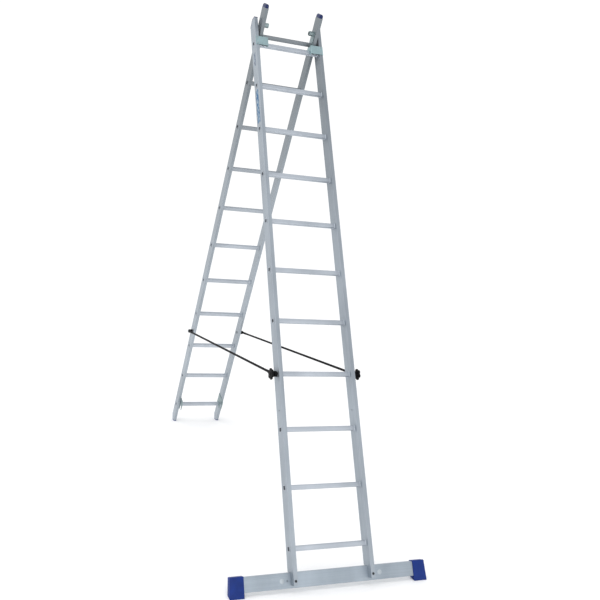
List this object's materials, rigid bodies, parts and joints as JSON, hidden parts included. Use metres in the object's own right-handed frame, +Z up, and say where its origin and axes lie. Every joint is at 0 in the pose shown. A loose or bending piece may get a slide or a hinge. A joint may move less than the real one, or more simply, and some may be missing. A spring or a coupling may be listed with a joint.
{
  "type": "folding extension ladder",
  "caption": "Two-section aluminium ladder standing open as an A-frame, with a wide stabiliser bar, square rungs, hooked hinge plates and side spreader rods held by hand knobs.",
  "frame": {"origin": "on the floor under the middle of the ladder's footprint", "axes": "+Z up, +Y from the base section (with the stabiliser bar) towards the fly section, +X along the rungs to the right for someone facing the base section"},
  "size_m": [1.06, 2.39, 2.9504],
  "materials": {
    "stile_aluminium": "mill-finish extrusion",
    "rung_aluminium": "mill-finish extrusion",
    "zinc_steel": "zinc-plated sheet, pale and slightly blue-green",
    "fastener_zinc": "bright zinc plate",
    "blue_plastic": "royal blue moulding",
    "navy_plastic": "dark blue moulding",
    "black_rod": "black powder coat",
    "black_plastic": "black moulding",
    "label": "printed film with no text"
  },
  "bodies": {
    "base_section": {"base_rung_01": "rung_aluminium", "base_rung_02": "rung_aluminium", "base_rung_03": "rung_aluminium", "base_rung_04": "rung_aluminium", "base_rung_05": "rung_aluminium", "base_rung_06": "rung_aluminium", "base_rung_07": "rung_aluminium", "base_rung_08": "rung_aluminium", "base_rung_09": "rung_aluminium", "base_rung_10": "rung_aluminium", "base_rung_11": "rung_aluminium", "base_stile_left": "stile_aluminium", "base_stile_right": "stile_aluminium", "base_top_plug_left": "navy_plastic", "base_top_plug_right": "navy_plastic", "stabiliser_bar": "stile_aluminium", "stabiliser_foot_left": "blue_plastic", "stabiliser_foot_right": "blue_plastic", "stabiliser_bolts": "fastener_zinc", "stabiliser_nuts": "fastener_zinc", "guide_bracket_left": "zinc_steel", "guide_bracket_right": "zinc_steel", "guide_bracket_rivets": "fastener_zinc", "knob_stud_left": "fastener_zinc", "knob_stud_right": "fastener_zinc", "knob_spacer_left": "black_plastic", "knob_spacer_right": "black_plastic", "rating_labels": "label"},
    "fly_section": {"fly_rung_01": "rung_aluminium", "fly_rung_02": "rung_aluminium", "fly_rung_03": "rung_aluminium", "fly_rung_04": "rung_aluminium", "fly_rung_05": "rung_aluminium", "fly_rung_06": "rung_aluminium", "fly_rung_07": "rung_aluminium", "fly_rung_08": "rung_aluminium", "fly_rung_09": "rung_aluminium", "fly_rung_10": "rung_aluminium", "fly_rung_11": "rung_aluminium", "fly_stile_left": "stile_aluminium", "fly_stile_right": "stile_aluminium", "fly_top_cap_left": "navy_plastic", "fly_top_cap_right": "navy_plastic", "fly_foot_plug_left": "blue_plastic", "fly_foot_plug_right": "blue_plastic", "hinge_plate_left": "zinc_steel", "hinge_plate_right": "zinc_steel", "hinge_boss_left": "zinc_steel", "hinge_boss_right": "zinc_steel", "rung_claw_left": "zinc_steel", "rung_claw_right": "zinc_steel", "fly_plate_rivets": "fastener_zinc", "rod_pivot_block_left": "black_plastic", "rod_pivot_block_right": "black_plastic", "rod_pivot_bolts": "fastener_zinc", "crimp_pins": "fastener_zinc"},
    "rod_left": {"spreader_rod_left": "black_rod"},
    "rod_right": {"spreader_rod_right": "black_rod"},
    "knob_left_body": {"knob_left": "black_plastic"},
    "knob_right_body": {"knob_right": "black_plastic"}
  },
  "joints": [
    {"name": "fold", "type": "hinge", "parent": "base_section", "child": "fly_section", "pos_m": [0, 0.09977, 2.71043], "axis": [1, 0, 0], "range_deg": [-45.8, 0]},
    {"name": "rod_left_swing", "type": "hinge", "parent": "fly_section", "child": "rod_left", "pos_m": [-0.212, 0.88103, 0.78742], "axis": [1, 0, 0], "range_deg": [-64.3, 0]},
    {"name": "rod_right_swing", "type": "hinge", "parent": "fly_section", "child": "rod_right", "pos_m": [0.212, 0.88103, 0.78742], "axis": [1, 0, 0], "range_deg": [-64.3, 0]},
    {"name": "knob_left_turn", "type": "hinge", "parent": "base_section", "child": "knob_left_body", "pos_m": [-0.2491, -0.73785, 0.93843], "axis": [1, 0, 0], "continuous": true},
    {"name": "knob_right_turn", "type": "hinge", "parent": "base_section", "child": "knob_right_body", "pos_m": [0.2491, -0.73785, 0.93843], "axis": [1, 0, 0], "continuous": true}
  ],
  "couplings": [
    {"joint": "rod_left_swing", "follows": "fold", "ratio": 1.4},
    {"joint": "rod_right_swing", "follows": "fold", "ratio": 1.4}
  ]
}
